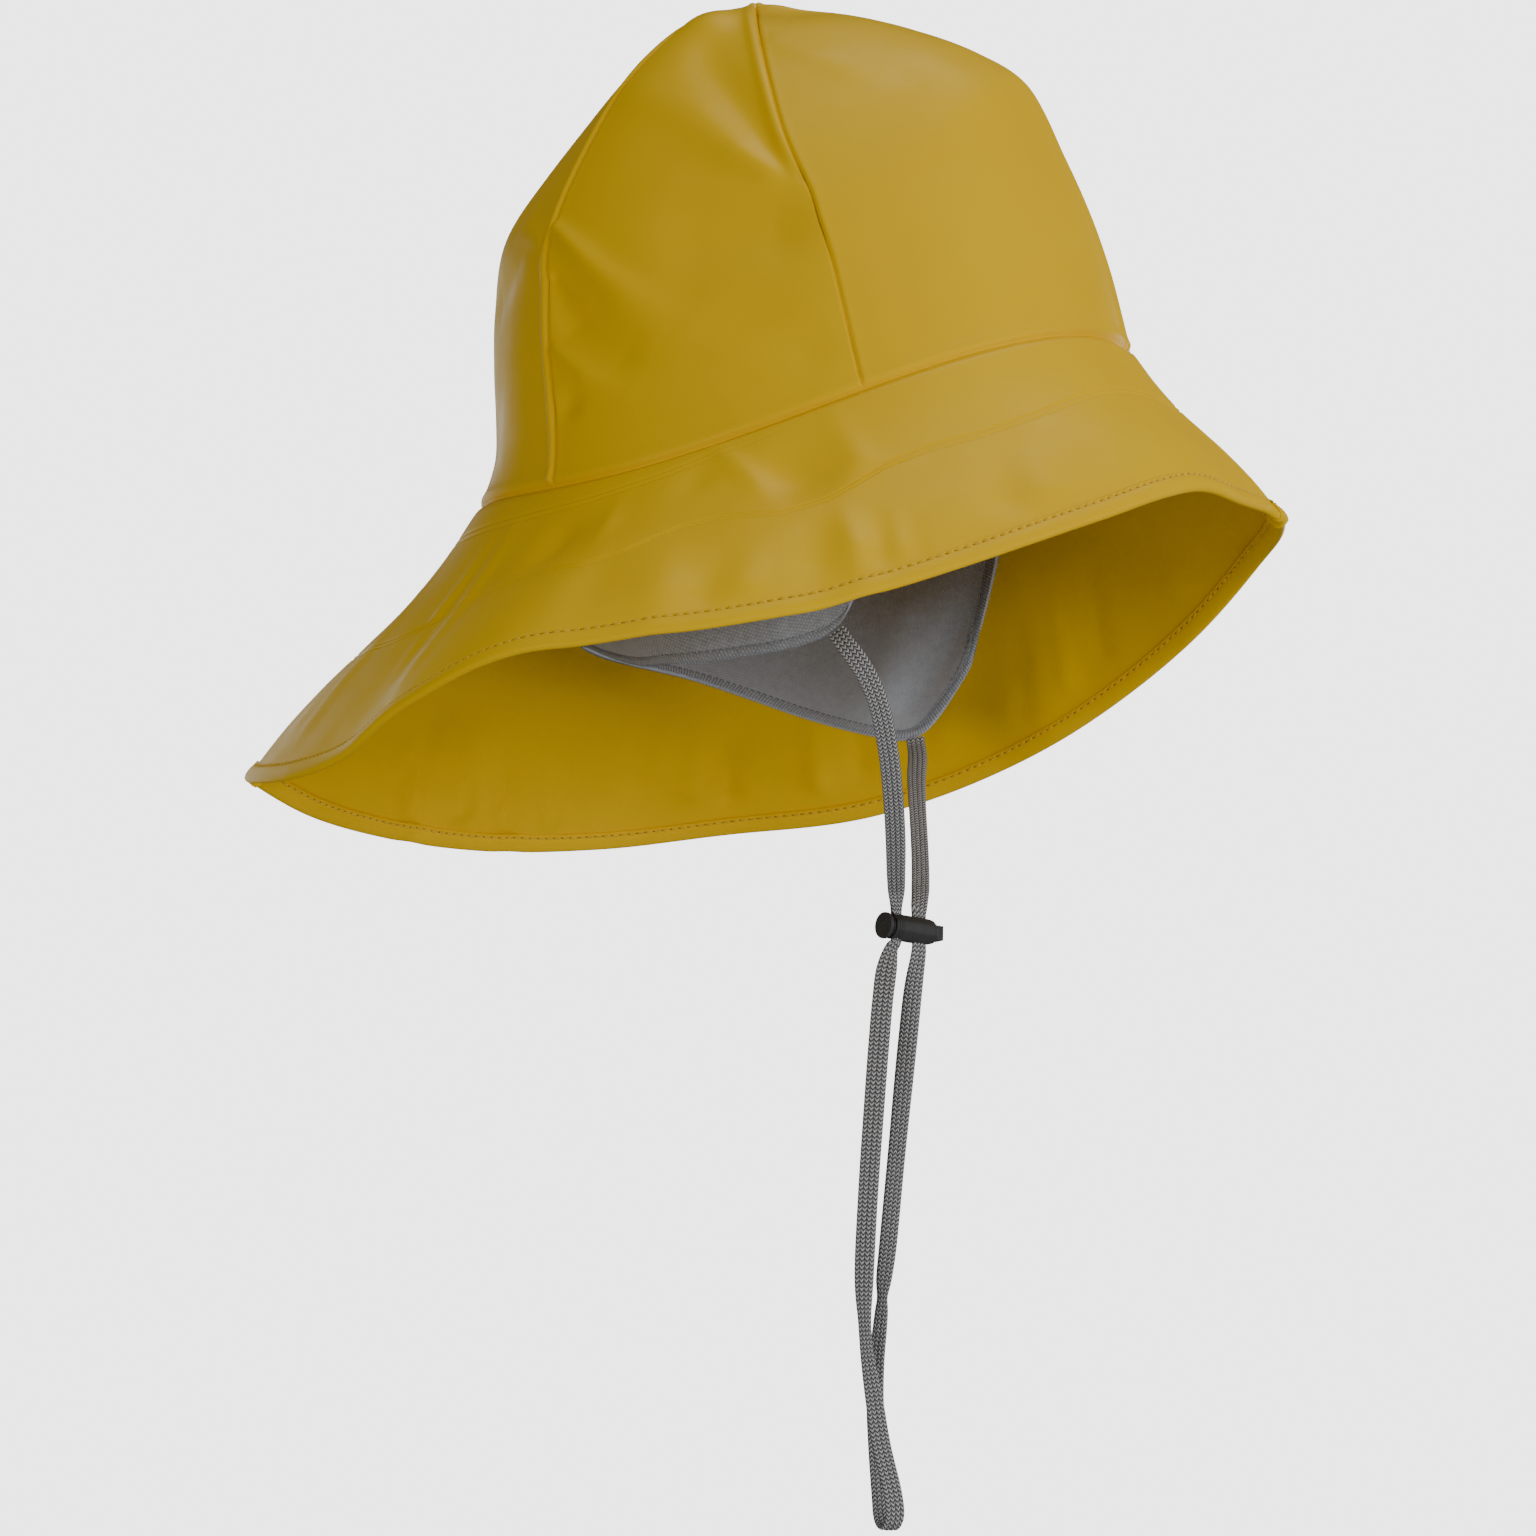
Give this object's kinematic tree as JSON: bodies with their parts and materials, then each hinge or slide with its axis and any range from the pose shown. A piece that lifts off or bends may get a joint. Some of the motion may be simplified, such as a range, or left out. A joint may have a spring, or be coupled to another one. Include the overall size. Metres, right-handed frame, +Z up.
{
  "type": "sou'wester rain hat",
  "caption": "Sou'wester rain hat with a panelled crown, a sloping brim longer at the back, a fleece ear and neck flap, and a flat braided chin cord in a barrel lock.",
  "frame": {"origin": "on the head's axis at the level where the front of the head ring is sewn, where the head carries the hat", "axes": "+Z up with the wearer's head upright, -Y to the front, -X to the wearer's right"},
  "size_m": [0.2854, 0.3206, 0.471],
  "materials": {
    "coated_fabric": "smooth waterproof coating with a soft satin sheen",
    "fleece": "matte knitted fleece",
    "cord": "matte flat braid",
    "lock_plastic": "fine satin moulded plastic"
  },
  "bodies": {
    "hat": {"crown_front_right": "coated_fabric", "crown_front_left": "coated_fabric", "crown_side_right": "coated_fabric", "crown_side_left": "coated_fabric", "crown_back_right": "coated_fabric", "crown_back_left": "coated_fabric", "brim_right": "coated_fabric", "brim_left": "coated_fabric", "brim_binding": "coated_fabric", "ear_neck_flap": "fleece", "chin_cord_right": "cord", "chin_cord_loop": "cord", "chin_cord_left": "cord", "chin_cord_in_lock_1": "cord", "chin_cord_in_lock_2": "cord", "cord_lock_body": "lock_plastic"},
    "plunger": {"cord_lock_plunger": "lock_plastic"}
  },
  "joints": [
    {"name": "plunger_press", "type": "slide", "parent": "hat", "child": "plunger", "axis": [0.7675, -0.6404, -0.03], "range_m": [0, 0.0012], "stiffness_N_per_m": 600, "springref_m": -0.002}
  ]
}
